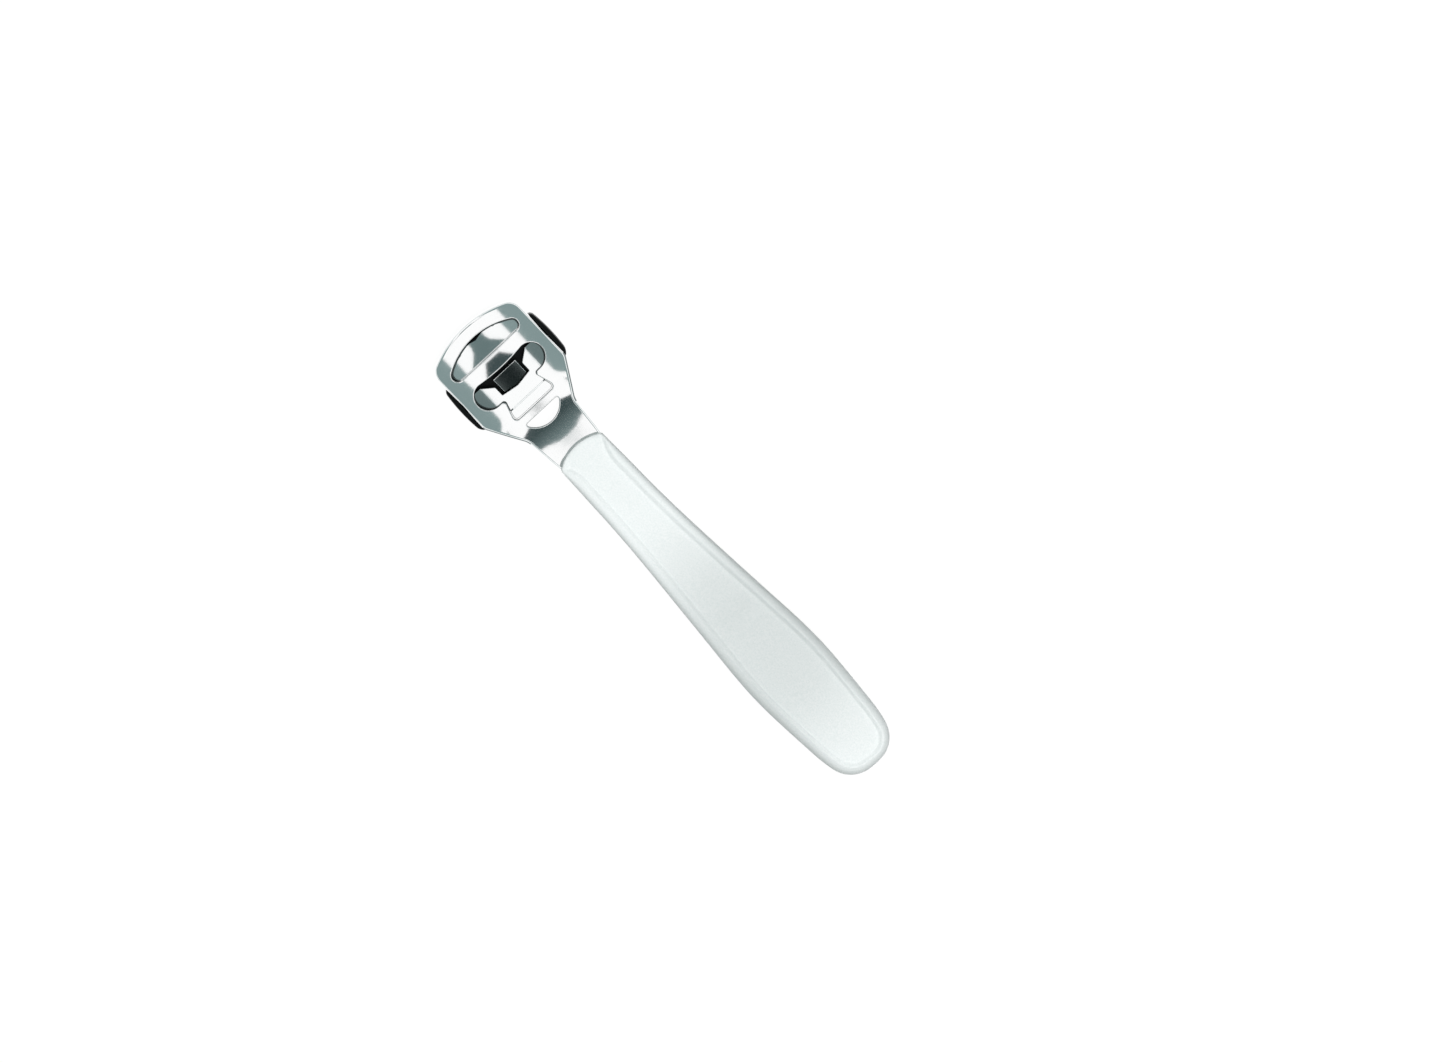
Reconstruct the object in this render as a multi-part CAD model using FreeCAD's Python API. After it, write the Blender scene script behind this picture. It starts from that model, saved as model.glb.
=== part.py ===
import FreeCAD, Part
import math
import os

# Callus remover: a chromed steel head on a long white handle. Millimetres.
# X runs along the tool from the tip (-X) to the butt of the handle (+X), Y across it,
# and Z up. The tool lies on its back, working face up, and the origin is in the middle
# of its length on the surface that it lies on. Stations are measured from the tip.

V = FreeCAD.Vector

# Head frame: one steel stamping with a turned-down rim, a neck and a tang
frame_width = 30.3
sheet = 1.0
crown_z = 6.6               # top of the frame on the centre line
bow_radius = 62.0           # the frame is bowed across its width, highest in the middle
rim_bottom_z = 3.0
rim_round = 0.9
nose_radius = 30.0
nose_corner_radius = 4.4
shoulder_station = 24.6     # where the straight sides turn in towards the neck
shoulder_radius = 4.0
taper_length = 10.7         # from there to the neck
neck_start_width = 17.5
neck_radius = 5.0
neck_length = 11.6
neck_end_width = 15.7
tang_width = 10.6
tang_length = 38.0
step_lead = 0.9             # the S-bend that lowers the neck starts this far before it
step_length = 8.0
step_drop = 1.9

# Openings in the frame, one after another from the tip
mouth_front_station = 4.0
mouth_length = 6.65
mouth_side_land = 3.3       # of the frame's face beside the mouth
mouth_front_radius = 20.6
mouth_corner_radius = 2.0
bridge_width = 4.55         # between the mouth and the window, on the centre line
bridge_bulge = 0.5          # its back edge is this much further back there than at the sides
window_length = 7.3         # the cross bar of the T-shaped window, with round ends
window_side_land = 3.4
throat_half_width = 5.45    # where the tail's sides would meet the bar, before rounding
throat_round = 0.9
tail_half_width = 7.45
tail_length = 6.4
tail_corner_radius = 1.2
moon_land = 2.35            # between the window's tail and the half-moon hole
moon_length = 4.0
moon_half_width = 6.1
moon_corner_radius = 0.6

# Blade: a flat steel strip, bent to the bow of the frame under the bridge
blade_thickness = 0.3
blade_overhang = 0.35       # how far each long edge shows beyond the bridge
blade_end_gap = 0.15        # from its ends to the sides of the clip
blade_corner = 2.4          # its corners are snipped off: this much of the length
blade_snip = 0.7            # and this much of the width

# Blade clip: a chromed spring plate that presses the blade against the bridge
clip_sheet = 0.6
clip_side_gap = 0.6         # clearance to the turned-down rim
clip_corner = 2.0
clip_front_lap = 1.0        # how far it reaches under the edge of the mouth
clip_back_lap = 2.2         # how far it reaches under the frame behind the window
clip_droop_radius = 20.0    # the front of the plate curves away from the mouth
clip_bar = 1.6              # the part of the plate that lies under the front of the bridge
clip_window_lip = 0.55      # from the bridge to the back edge of the clip's own window
clip_window_rail = 1.1      # left beside that window
notch_depth = 5.65          # from the back of that window to the root of the tongue
notch_half_width = 5.0
notch_slope = 2.5
notch_flare = 3.3
tongue_half_width = 4.1
tongue_lap = 1.9            # how far the tongue reaches under the bridge
tongue_flat = 0.4           # of it that is still level behind the bridge
tongue_dip = 0.9
strap_half_width = 5.6
strap_length = 2.0          # from the plate to the tab
tab_rise = 0.7              # the end of the strap is stepped up into the tail of the window
tab_step = 2.0
tab_gap = 0.3
tab_corner = 1.2

# Back guard: the black moulding behind the head
guard_front_station = 9.7
guard_length = 15.9
guard_cheek = 1.35          # how far it stands out beside the frame, halfway along
guard_end_cheek = 0.75      # and at its ends
guard_front_corner = 1.6
guard_back_corner = 3.0
guard_floor = 1.4
guard_ledge = 1.25          # how far the ledge reaches in under the rim of the frame
guard_lip_height = 1.1      # of the outer lip that stands beside the rim of the frame
guard_gap = 0.1
guard_round = 1.0
guard_foot_round = 0.8

# Handle: one white moulding around the tang
mouth_arch = 2.4            # how far the lip of the handle reaches over the neck
mouth_cover = 0.05          # how far its mouth stands out beside the neck
mouth_to_waist = 20.1       # lengths along the handle, one after another
waist_to_flare = 24.0
flare_to_grip = 21.0
grip_to_swell = 17.5
swell_to_heel = 18.5
heel_to_butt = 17.0
waist_width = 16.0
flare_width = 18.65
grip_width = 21.9
swell_width = 23.9
heel_width = 21.9
butt_width = 19.2
butt_taper = 14.0           # degrees that the sides lean in where the butt's corners start
butt_corner_radius = 8.5
butt_radius = 26.0
handle_mouth_z = 8.0
handle_crest_z = 9.2
mouth_to_crest = 60.0
handle_butt_z = 7.6
handle_top_round = 1.8
handle_bottom_round = 2.4
rim_width = 3.1             # of the raised rim round the sunk panel
rim_inner_round = 0.25
panel_depth = 0.7
panel_foot_round = 0.6
panel_flare_length = 7.0    # the rim pinches out over this length behind the mouth
pinch_setback = 0.3         # where the panel's edge passes the corner of the mouth: behind it
pinch_inset = 0.2           # and this far inside it
pinch_spread = 1.2          # how far outside the corner the panel's outline runs out

# Stations of the whole tool
neck_start_station = shoulder_station + taper_length
neck_end_station = neck_start_station + neck_length
waist_station = neck_end_station + mouth_to_waist
flare_station = waist_station + waist_to_flare
grip_station = flare_station + flare_to_grip
swell_station = grip_station + grip_to_swell
heel_station = swell_station + swell_to_heel
tool_length = heel_station + heel_to_butt
tip_x = -tool_length / 2

# Cutting shapes
overcut = 1.0               # how far they reach beyond what they cut
block_depth = 12.0          # of the blocks under a bowed surface, deeper than the tool
tiny = 0.01                 # tolerance for finding edges


def at(station, y=0.0, z=0.0):
    """The point at a station from the tip."""
    return V(tip_x + station, y, z)


def mirrored_face(half_edges):
    """A face from the edges of one half outline, which starts and ends on the centre line."""
    half = Part.Wire(half_edges)
    other = half.mirror(V(0, 0, 0), V(0, 1, 0))
    return Part.Face(Part.Wire(Part.__sortEdges__(half.Edges + other.Edges)))


def prism(face, bottom, top):
    """A flat outline raised into a solid between two heights."""
    solid = face.extrude(V(0, 0, top - bottom))
    solid.translate(V(0, 0, bottom))
    return solid


def lines(*points):
    return [Part.makeLine(a, b) for a, b in zip(points, points[1:])]


def edges_over(solid, outline, lowest):
    """The edges of a solid that run along a flat outline, above a height."""
    found = []
    for edge in solid.Edges:
        middle = (edge.FirstParameter + edge.LastParameter) / 2
        point = edge.valueAt(middle)
        upright = abs(edge.tangentAt(middle).z) > 0.9
        aside = outline.distToShape(Part.Vertex(point.x, point.y, 0))[0]
        if edge.BoundBox.ZMin > lowest and not upright and aside < tiny:
            found.append(edge)
    return found


def foot_edges(solid):
    return [e for e in solid.Edges if e.BoundBox.ZMax < tiny]


def rounded(points, radii):
    """Straight runs through the points, with an arc of the given radius at each inner point."""
    edges = []
    start = points[0]
    for before, corner, after, radius in zip(points, points[1:], points[2:], radii):
        into = (before - corner).normalize()
        out = (after - corner).normalize()
        half_angle = into.getAngle(out) / 2
        reach = radius / math.tan(half_angle)
        middle = (into + out).normalize() * (radius / math.sin(half_angle) - radius)
        first = corner + into * reach
        last = corner + out * reach
        edges.append(Part.makeLine(start, first))
        edges.append(Part.Arc(first, corner + middle, last).toShape())
        start = last
    edges.append(Part.makeLine(start, points[-1]))
    return edges


def arc_to_side(apex_station, radius, side_y, corner_radius):
    """An arc across the tool with a corner arc that leads into a side parallel to X.

    Returns the two edges of one half and the station where the side starts."""
    centre_station = apex_station + radius
    corner_y = side_y - corner_radius
    reach = math.sqrt((radius - corner_radius) ** 2 - corner_y ** 2)
    corner_station = centre_station - reach
    touch_y = corner_y * radius / (radius - corner_radius)
    touch = at(centre_station - reach * radius / (radius - corner_radius), touch_y)
    angle = math.atan2(touch_y, reach * radius / (radius - corner_radius))
    middle = at(centre_station - radius * math.cos(angle / 2), radius * math.sin(angle / 2))
    turn = angle + (math.pi / 2 - angle) / 2
    corner_middle = at(corner_station - corner_radius * math.cos(turn),
                       corner_y + corner_radius * math.sin(turn))
    nose = Part.Arc(at(apex_station), middle, touch).toShape()
    corner = Part.Arc(touch, corner_middle, at(corner_station, side_y)).toShape()
    return [nose, corner], corner_station


def step_path(start_station, level, bends, end_station):
    """A path along the centre line at a level, with S-bends (from, to, rise) on the way."""
    edges = []
    here = at(start_station, 0, level)
    for first, last, rise in bends:
        bend_start = at(first, 0, here.z)
        if bend_start.x > here.x:
            edges.append(Part.makeLine(here, bend_start))
        half = (last - first) / 2
        radius = (half ** 2 + (rise / 2) ** 2) / abs(rise)
        side = math.copysign(1, rise)
        angle = math.asin(half / radius) / 2
        quarter = radius * math.sin(angle)
        lift = side * radius * (1 - math.cos(angle))
        middle = at(first + half, 0, here.z + rise / 2)
        bend_end = at(last, 0, here.z + rise)
        first_quarter = at(first + quarter, 0, here.z + lift)
        last_quarter = at(last - quarter, 0, here.z + rise - lift)
        edges.append(Part.Arc(bend_start, first_quarter, middle).toShape())
        edges.append(Part.Arc(middle, last_quarter, bend_end).toShape())
        here = bend_end
    if at(end_station).x > here.x:
        edges.append(Part.makeLine(here, at(end_station, 0, here.z)))
    return edges


def arch_drop(radius, reach):
    """How far an arched line has dropped at a distance from its middle."""
    return radius - math.sqrt(radius ** 2 - reach ** 2)


def sheet_section(radius, thickness, reach):
    """Across a bowed sheet, the middle of its top at the origin."""
    below = radius - thickness
    drop = arch_drop(radius, reach)
    low_drop = thickness + arch_drop(below, reach)
    left, right = V(0, -reach, -drop), V(0, reach, -drop)
    low_left, low_right = V(0, -reach, -low_drop), V(0, reach, -low_drop)
    return [Part.Arc(left, V(0, 0, 0), right).toShape(), Part.makeLine(right, low_right),
            Part.Arc(low_right, V(0, 0, -thickness), low_left).toShape(),
            Part.makeLine(low_left, left)]


def block_section(radius, reach):
    """Across a block with a bowed top, the middle of its top at the origin."""
    drop = arch_drop(radius, reach)
    left, right = V(0, -reach, -drop), V(0, reach, -drop)
    return [Part.Arc(left, V(0, 0, 0), right).toShape()] + lines(
        right, V(0, reach, -block_depth), V(0, -reach, -block_depth), left)


def swept(section, path_edges):
    """A section carried along a path on the centre line, square to it."""
    first = path_edges[0]
    ahead = first.tangentAt(first.FirstParameter)
    wire = Part.Wire(section)
    wire.rotate(V(0, 0, 0), V(0, -1, 0), math.degrees(math.atan2(ahead.z, ahead.x)))
    wire.translate(first.Vertexes[0].Point)
    sweep = Part.BRepOffsetAPI.MakePipeShell(Part.Wire(path_edges))
    sweep.setBiNormalMode(V(0, 1, 0))
    sweep.add(wire)
    sweep.build()
    sweep.makeSolid()
    return sweep.shape()


def bowed_sheet(path_edges, radius, thickness, half_width):
    """A bowed sheet whose top follows the path, a little wider than asked."""
    return swept(sheet_section(radius, thickness, half_width + overcut), path_edges)


def bowed_block(path_edges, radius, half_width):
    """A deep block whose bowed top follows the path, a little wider than asked."""
    return swept(block_section(radius, half_width + overcut), path_edges)


def frame_path(level):
    start = neck_start_station - step_lead
    bends = [(start, start + step_length, -step_drop)]
    return step_path(-overcut, level, bends, neck_end_station + tang_length + overcut)


def frame_face(inset):
    """The outline of the frame and its neck, or of the hollow inside its rim."""
    side = frame_width / 2 - inset
    edges, side_start = arc_to_side(inset, nose_radius - inset, side, nose_corner_radius - inset)
    slope = V(neck_start_station - shoulder_station, (neck_start_width - frame_width) / 2, 0)
    shift = inset * math.tan(math.atan2(-slope.y, slope.x) / 2)
    end = neck_end_station if inset == 0 else neck_end_station + overcut
    points = [at(side_start, side), at(shoulder_station - shift, side),
              at(neck_start_station - shift, neck_start_width / 2 - inset),
              at(end, neck_end_width / 2 - inset), at(end)]
    run = rounded(points[:4], [shoulder_radius - inset, neck_radius + inset])
    return mirrored_face(edges + run + lines(*points[3:]))


def softened(face, radius):
    """A flat outline with its outward corners rounded."""
    return face.makeOffset2D(-radius).makeOffset2D(radius).Faces[0]


def segment_face(centre_station, radius, front, back, side):
    """The part of a disc that lies between two stations and within the sides."""
    disc = Part.Face(Part.Wire([Part.makeCircle(radius, at(centre_station))]))
    return disc.common(Part.makePlane(back - front, 2 * side, at(front, -side))).Faces[0]


def mouth_back():
    return mouth_front_station + mouth_length


def mouth_face():
    """The crescent opening at the nose: an arched front edge and a straight back edge."""
    side = frame_width / 2 - mouth_side_land
    face = segment_face(mouth_front_station + mouth_front_radius, mouth_front_radius,
                        mouth_front_station, mouth_back(), side)
    return softened(face, mouth_corner_radius)


def window_front():
    return mouth_back() + bridge_width


def window_back():
    return window_front() + window_length


def tail_end():
    return window_back() + tail_length


def tail_wall(station):
    """Half the width of the window's tail at a station."""
    share = (station - window_back()) / tail_length
    return throat_half_width + (tail_half_width - throat_half_width) * share


def window_face():
    """The T-shaped opening behind the bridge: a round-ended bar, a throat and a wider tail."""
    end_front = window_front() - bridge_bulge
    radius = (window_back() - end_front) / 2
    side = frame_width / 2 - window_side_land
    corner = at(end_front, side - radius)
    bow = (corner.y ** 2 + bridge_bulge ** 2) / (2 * bridge_bulge)
    angle = math.asin(corner.y / bow) / 2
    middle = at(window_front() - bow * (1 - math.cos(angle)), bow * math.sin(angle))
    front = Part.Arc(at(window_front()), middle, corner).toShape()
    end = Part.Arc(corner, at(end_front + radius, side), at(window_back(), corner.y)).toShape()
    points = [at(window_back(), corner.y), at(window_back(), throat_half_width),
              at(tail_end(), tail_half_width), at(tail_end())]
    return mirrored_face([front, end] + rounded(points, [throat_round, tail_corner_radius]))


def moon_front():
    return tail_end() + moon_land


def moon_face():
    """The half-moon hole in the neck, which the tool hangs by."""
    radius = (moon_half_width ** 2 + moon_length ** 2) / (2 * moon_length)
    back = moon_front() + moon_length
    face = segment_face(back - radius, radius, moon_front(), back, moon_half_width)
    return softened(face, moon_corner_radius)


def frame_pan():
    """The frame as a solid block under the bow, its outer top edge rounded up to the handle."""
    roof = bowed_block(frame_path(crown_z), bow_radius, frame_width / 2)
    face = frame_face(0)
    pan = prism(face, rim_bottom_z, crown_z + overcut).common(roof)
    end_x = at(neck_end_station).x
    rim = [e for e in edges_over(pan, face.OuterWire, rim_bottom_z + tiny)
           if e.BoundBox.XMin < end_x - tiny]
    return pan.makeFillet(rim_round, rim)


def make_head_frame():
    level = crown_z - sheet
    room = bowed_block(frame_path(level), bow_radius - sheet, frame_width / 2)
    hollow = prism(frame_face(sheet), rim_bottom_z - overcut, crown_z).common(room)
    tang = bowed_sheet(frame_path(crown_z), bow_radius, sheet, tang_width / 2)
    tang = tang.common(Part.makeBox(tang_length + overcut, tang_width,
                                    crown_z, at(neck_end_station - overcut, -tang_width / 2)))
    frame = frame_pan().cut(hollow).fuse(tang)
    for opening in (mouth_face(), window_face(), moon_face()):
        frame = frame.cut(prism(opening, 0, crown_z + overcut))
    return frame.removeSplitter()


def blade_level():
    return crown_z - sheet


def make_blade():
    """A strip between the bridge and the clip, its long edges just beyond the bridge."""
    front = mouth_back() - blade_overhang
    back = window_front() + blade_overhang
    side = clip_side() - blade_end_gap
    half = lines(at(front), at(front, side - blade_corner), at(front + blade_snip, side),
                 at(back - blade_snip, side), at(back, side - blade_corner), at(back))
    strip = prism(mirrored_face(half), 0, crown_z)
    bent_sheet = bowed_sheet(step_path(0, blade_level(), [], shoulder_station),
                             bow_radius - sheet, blade_thickness, side)
    return strip.common(bent_sheet)


def clip_level():
    return blade_level() - blade_thickness


def clip_radius():
    return bow_radius - sheet - blade_thickness


def clip_end():
    return window_back() + clip_back_lap


def clip_side():
    return frame_width / 2 - sheet - clip_side_gap


def plate_path():
    """Along the clip's plate: the front that droops away from the mouth, then level."""
    front = mouth_front_station - clip_front_lap - overcut
    turn = math.asin((mouth_back() - front) / clip_droop_radius)
    half_run = clip_droop_radius * math.sin(turn / 2)
    drop = clip_droop_radius * (1 - math.cos(turn))
    half_drop = clip_droop_radius * (1 - math.cos(turn / 2))
    bridge = at(mouth_back(), 0, clip_level())
    arc = Part.Arc(at(front, 0, clip_level() - drop),
                   at(mouth_back() - half_run, 0, clip_level() - half_drop), bridge)
    return [arc.toShape(), Part.makeLine(bridge, at(clip_end(), 0, clip_level()))]


def plate_face():
    """The outline of the clip's plate: an arched front and straight sides."""
    edges, side_start = arc_to_side(mouth_front_station - clip_front_lap,
                                    mouth_front_radius + clip_front_lap, clip_side(),
                                    nose_corner_radius - sheet - clip_side_gap)
    sides = lines(at(side_start, clip_side()), at(clip_end() - clip_corner, clip_side()),
                  at(clip_end(), clip_side() - clip_corner), at(clip_end()))
    return mirrored_face(edges + sides)


def strap_face():
    """The outline of the strap and of the wider tab at its end, which lies in the window's tail."""
    tab_start = clip_end() + strap_length
    tab_end = tail_end() - tab_gap
    tab_front = tail_wall(tab_start) - tab_gap
    tab_back = tail_wall(tab_end - tab_corner) - tab_gap
    return mirrored_face(lines(at(clip_end()), at(clip_end(), strap_half_width),
                               at(tab_start, strap_half_width), at(tab_start, tab_front),
                               at(tab_end - tab_corner, tab_back), at(tab_end, tab_back - tab_corner),
                               at(tab_end)))


def strap_path():
    """Along the strap: level, then stepped up into the tail of the window."""
    tab_start = clip_end() + strap_length
    return step_path(clip_end(), clip_level(), [(tab_start - tab_step, tab_start, tab_rise)],
                     tail_end())


def clip_window_face():
    """The opening in the clip: a bar under the bridge and the notch that the tongue stands in."""
    front = mouth_back() + clip_bar
    back = window_front() + clip_window_lip
    side = clip_side() - clip_window_rail
    outline = lines(at(front), at(front, side), at(back, side),
                    at(back, notch_half_width + notch_flare), at(back + notch_slope, notch_half_width),
                    at(back + notch_depth, notch_half_width), at(back + notch_depth))
    return mirrored_face(outline)


def tongue_tip():
    return window_front() - tongue_lap


def tongue_root():
    return window_front() + clip_window_lip + notch_depth


def tongue_path():
    """Along the tongue: level under the blade, then down and up again to its root."""
    dip_start = window_front() + tongue_flat
    low = (dip_start + tongue_root()) / 2
    bends = [(dip_start, low, -tongue_dip), (low, tongue_root(), tongue_dip)]
    return step_path(tongue_tip(), clip_level(), bends, tongue_root())


def make_clip_plate():
    plate = bowed_sheet(plate_path(), clip_radius(), clip_sheet, clip_side())
    plate = plate.common(prism(plate_face(), 0, crown_z))
    return plate.cut(prism(clip_window_face(), 0, crown_z))


def make_blade_clip():
    strap = bowed_sheet(strap_path(), clip_radius(), clip_sheet, tail_half_width)
    strap = strap.common(prism(strap_face(), 0, crown_z))
    length = tongue_root() - tongue_tip()
    width = 2 * tongue_half_width
    tongue = bowed_sheet(tongue_path(), clip_radius(), clip_sheet, tongue_half_width)
    tongue = tongue.common(Part.makeBox(length, width, crown_z, at(tongue_tip(), -width / 2)))
    return make_clip_plate().fuse([strap, tongue]).removeSplitter()


def guard_face():
    """The outline of the guard: sides that bulge a little, with rounded corners."""
    middle = at(guard_front_station + guard_length / 2, frame_width / 2 + guard_cheek)
    front_corner = at(guard_front_station, frame_width / 2 + guard_end_cheek)
    back_corner = front_corner + V(guard_length, 0, 0)
    side = Part.Arc(front_corner, middle, back_corner).toShape()
    return mirrored_face(lines(at(guard_front_station), front_corner) + [side]
                         + lines(back_corner, at(guard_front_station + guard_length)))


def guard_corners(block, station):
    """The upright edges at the two corners of the guard at one of its ends."""
    return [e for e in block.Edges if abs(e.BoundBox.XMin - at(station).x) < tiny
            and e.BoundBox.ZLength > rim_bottom_z and abs(e.BoundBox.YMin) > frame_width / 4]


def guard_trough(width, floor):
    """A box that hollows the guard from end to end, down to a floor."""
    corner = at(guard_front_station - overcut, -width / 2, floor)
    return Part.makeBox(guard_length + 2 * overcut, width, crown_z, corner)


def make_back_guard():
    lip_top = rim_bottom_z + guard_lip_height
    block = prism(guard_face(), 0, lip_top)
    block = block.makeFillet(guard_front_corner, guard_corners(block, guard_front_station))
    block = block.makeFillet(guard_back_corner, guard_corners(block, guard_front_station + guard_length))
    block = block.makeFillet(guard_round, [e for e in block.Edges if e.BoundBox.ZMin > lip_top - tiny])
    block = block.makeFillet(guard_foot_round, foot_edges(block))
    channel = guard_trough(frame_width - 2 * guard_ledge, guard_floor)
    seat = guard_trough(frame_width + 2 * guard_gap, rim_bottom_z)
    return block.cut(channel).cut(seat)


def handle_side(inset):
    """The points of one side of the handle, or of the panel, between mouth and butt."""
    stations = [(waist_station, waist_width), (flare_station, flare_width),
                (grip_station, grip_width), (swell_station, swell_width),
                (heel_station, heel_width)]
    return [at(station, width / 2 - inset) for station, width in stations]


def butt_edges(inset):
    """One half of the butt: a corner arc and a flat arc, from the side to the centre line."""
    taper = math.radians(butt_taper)
    arc_centre = at(tool_length - butt_radius)
    centre_y = butt_width / 2 - butt_corner_radius * math.cos(taper)
    reach = math.sqrt((butt_radius - butt_corner_radius) ** 2 - centre_y ** 2)
    centre = arc_centre + V(reach, centre_y, 0)
    corner = butt_corner_radius - inset
    flat_angle = math.atan2(centre_y, reach)
    start_angle = math.pi / 2 - taper
    middle_angle = (start_angle + flat_angle) / 2

    def on(middle, radius, angle):
        return middle + V(math.cos(angle), math.sin(angle), 0) * radius

    start = on(centre, corner, start_angle)
    touch = on(centre, corner, flat_angle)
    flat_middle = on(arc_centre, butt_radius - inset, flat_angle / 2)
    corner_arc = Part.Arc(start, on(centre, corner, middle_angle), touch).toShape()
    flat_arc = Part.Arc(touch, flat_middle, at(tool_length - inset)).toShape()
    return [corner_arc, flat_arc], start, V(math.cos(taper), -math.sin(taper), 0)


def curve(points, first_tangent, last_tangent):
    spline = Part.BSplineCurve()
    spline.interpolate(Points=points, InitialTangent=first_tangent, FinalTangent=last_tangent)
    return spline.toShape()


def mouth_corner():
    """The corner of the handle's mouth, beside the neck."""
    return at(neck_end_station, neck_end_width / 2 + mouth_cover)


def handle_front():
    return neck_end_station - mouth_arch


def handle_face():
    corner = mouth_corner()
    radius = (corner.y ** 2 + mouth_arch ** 2) / (2 * mouth_arch)
    angle = math.asin(corner.y / radius) / 2
    middle = at(handle_front() + radius * (1 - math.cos(angle)), radius * math.sin(angle))
    mouth = Part.Arc(at(handle_front()), middle, corner).toShape()
    butt, butt_start, taper = butt_edges(0)
    side = curve([corner] + handle_side(0) + [butt_start], V(1, 0, 0), taper)
    return mirrored_face([mouth, side] + butt)


def panel_face():
    """The outline of the sunk panel: it follows the sides and runs out at the mouth."""
    front = handle_front() - overcut
    outside = at(front, mouth_corner().y + pinch_spread)
    pinch = mouth_corner() + V(pinch_setback, -pinch_inset, 0)
    start = at(neck_end_station + panel_flare_length, waist_width / 2 - rim_width)
    butt, butt_start, taper = butt_edges(rim_width)
    bend = curve([outside, pinch, start], pinch - outside, V(1, 0, 0))
    side = curve([start] + handle_side(rim_width) + [butt_start], V(1, 0, 0), taper)
    return mirrored_face(lines(at(front), outside) + [bend, side] + butt)


def handle_arch(sink):
    """The arched top of the handle along its centre line, lowered by the given amount."""
    return Part.Arc(at(handle_front(), 0, handle_mouth_z - sink),
                    at(neck_end_station + mouth_to_crest, 0, handle_crest_z - sink),
                    at(tool_length, 0, handle_butt_z - sink)).toShape()


def handle_block(sink):
    """A block under the arched top of the handle, lowered by the given amount."""
    arch = handle_arch(sink)
    front, back = arch.Vertexes[0].Point, arch.Vertexes[-1].Point
    outline = [arch] + lines(back, at(tool_length), at(handle_front()), front)
    block = Part.Face(Part.Wire(outline)).extrude(V(0, 2 * swell_width, 0))
    block.translate(V(0, -swell_width, 0))
    return block


def panel_cutter():
    """What the sunk panel takes out of the handle, rounded along its foot."""
    cutter = prism(panel_face(), 0, handle_crest_z + overcut).cut(handle_block(panel_depth))
    floor_edges = [e for e in edges_over(cutter, panel_face().OuterWire, 0)
                   if e.BoundBox.ZMax < handle_crest_z + overcut - tiny
                   and e.BoundBox.XLength > tiny]
    return cutter.makeFillet(panel_foot_round, floor_edges)


def make_handle(head_frame):
    body = prism(handle_face(), 0, handle_crest_z + overcut).common(handle_block(0))
    body = body.makeFillet(handle_bottom_round, foot_edges(body))
    sides = [e for e in edges_over(body, handle_face().OuterWire, handle_bottom_round)
             if e.BoundBox.XMax > mouth_corner().x + tiny]
    body = body.makeFillet(handle_top_round, sides).cut(panel_cutter())
    inner = [e for e in edges_over(body, panel_face().OuterWire, handle_bottom_round)
             if e.distToShape(handle_block(0))[0] < tiny]
    return body.makeFillet(rim_inner_round, inner).cut(head_frame)


def main():
    os.makedirs("parts", exist_ok=True)
    head_frame = make_head_frame()
    pieces = {
        "head_frame": head_frame,
        "blade": make_blade(),
        "blade_clip": make_blade_clip(),
        "back_guard": make_back_guard(),
        "handle": make_handle(head_frame),
    }
    for name, shape in pieces.items():
        solids = shape.Solids
        print(name, "solids", len(solids), "valid", shape.isValid(), "volume %.1f" % shape.Volume)
        shape = solids[0] if len(solids) == 1 else shape
        shape.exportStep(os.path.join("parts", name + ".step"))


main()
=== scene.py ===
import math

import bpy
import numpy as np
from mathutils import Matrix, Vector
from mathutils.geometry import delaunay_2d_cdt
from mathutils.kdtree import KDTree


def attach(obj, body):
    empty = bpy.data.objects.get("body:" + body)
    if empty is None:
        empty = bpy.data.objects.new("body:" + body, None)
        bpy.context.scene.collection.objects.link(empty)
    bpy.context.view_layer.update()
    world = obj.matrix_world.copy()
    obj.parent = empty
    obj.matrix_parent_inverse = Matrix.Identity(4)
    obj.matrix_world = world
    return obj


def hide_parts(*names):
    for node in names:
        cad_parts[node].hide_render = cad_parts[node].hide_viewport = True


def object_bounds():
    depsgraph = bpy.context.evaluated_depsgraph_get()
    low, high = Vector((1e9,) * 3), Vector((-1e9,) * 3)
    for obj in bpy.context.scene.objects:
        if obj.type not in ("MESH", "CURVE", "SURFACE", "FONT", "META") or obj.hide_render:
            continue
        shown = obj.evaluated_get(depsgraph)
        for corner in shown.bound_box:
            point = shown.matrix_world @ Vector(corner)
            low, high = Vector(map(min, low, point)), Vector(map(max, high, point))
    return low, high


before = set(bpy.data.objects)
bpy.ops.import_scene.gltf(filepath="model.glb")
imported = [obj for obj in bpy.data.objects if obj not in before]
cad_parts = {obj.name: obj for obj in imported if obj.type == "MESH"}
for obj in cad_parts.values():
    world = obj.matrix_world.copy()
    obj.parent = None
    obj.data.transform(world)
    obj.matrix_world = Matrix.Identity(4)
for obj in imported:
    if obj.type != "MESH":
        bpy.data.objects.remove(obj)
cad_low, cad_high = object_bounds()

# The tool lies along X. Stations are millimetres from the tip of its head, and all shapes
# below are worked out in (station, side, height) and turned into metres at the end.
MM = 0.001
TIP_X = cad_low[0]

# The view
PHOTO_WIDTH = 1442
PIXELS_PER_METRE = 3680     # of the picture, at the tool
TOOL_ANGLE = math.radians(46.7)     # the tool points down to the right by this much
LEAN_TO_TIP = math.radians(8)
LEAN_TO_RIGHT = math.radians(4)
CAMERA_DISTANCE = 4.0
VIEW_CENTRE = Vector((6.65, 12.75, 5.0)) * MM    # the point in the middle of the picture

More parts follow.
